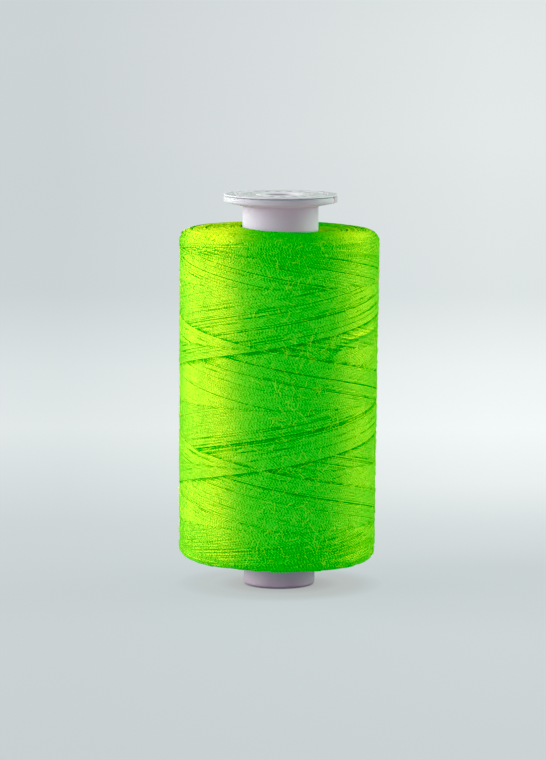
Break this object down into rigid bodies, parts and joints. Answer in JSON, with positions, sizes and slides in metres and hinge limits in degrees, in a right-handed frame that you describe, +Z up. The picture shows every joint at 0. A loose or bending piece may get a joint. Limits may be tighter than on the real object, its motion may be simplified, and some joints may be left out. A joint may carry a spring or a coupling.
{
  "type": "spool of thread",
  "caption": "Tall cross-wound package of bright green sewing thread on a slim white plastic spool with a small flange, a lifting snap cap and a short foot.",
  "frame": {"origin": "centre of the foot's underside, on the spool's axis, where it stands", "axes": "+Z up along the spool's axis from foot to cap; -Y is the side the picture shows at the front; +X to the right"},
  "size_m": [0.0376, 0.0376, 0.0745],
  "materials": {
    "spool_plastic": "white injection-moulded polystyrene with a faint lavender cast, satin",
    "cap_plastic": "white injection-moulded polypropylene, satin",
    "label_paper": "coated white paper with a plain grey tick ring, matt",
    "thread": "neon green two-ply spun polyester sewing thread, cross-wound, soft with stray fibres"
  },
  "bodies": {
    "spool": {"spool_body": "spool_plastic", "thread_package": "thread"},
    "cap": {"snap_cap": "cap_plastic", "label_ring": "label_paper"}
  },
  "joints": [
    {"name": "cap_lift", "type": "slide", "parent": "spool", "child": "cap", "axis": [0, 0, 1], "range_m": [0, 0.0012]}
  ]
}
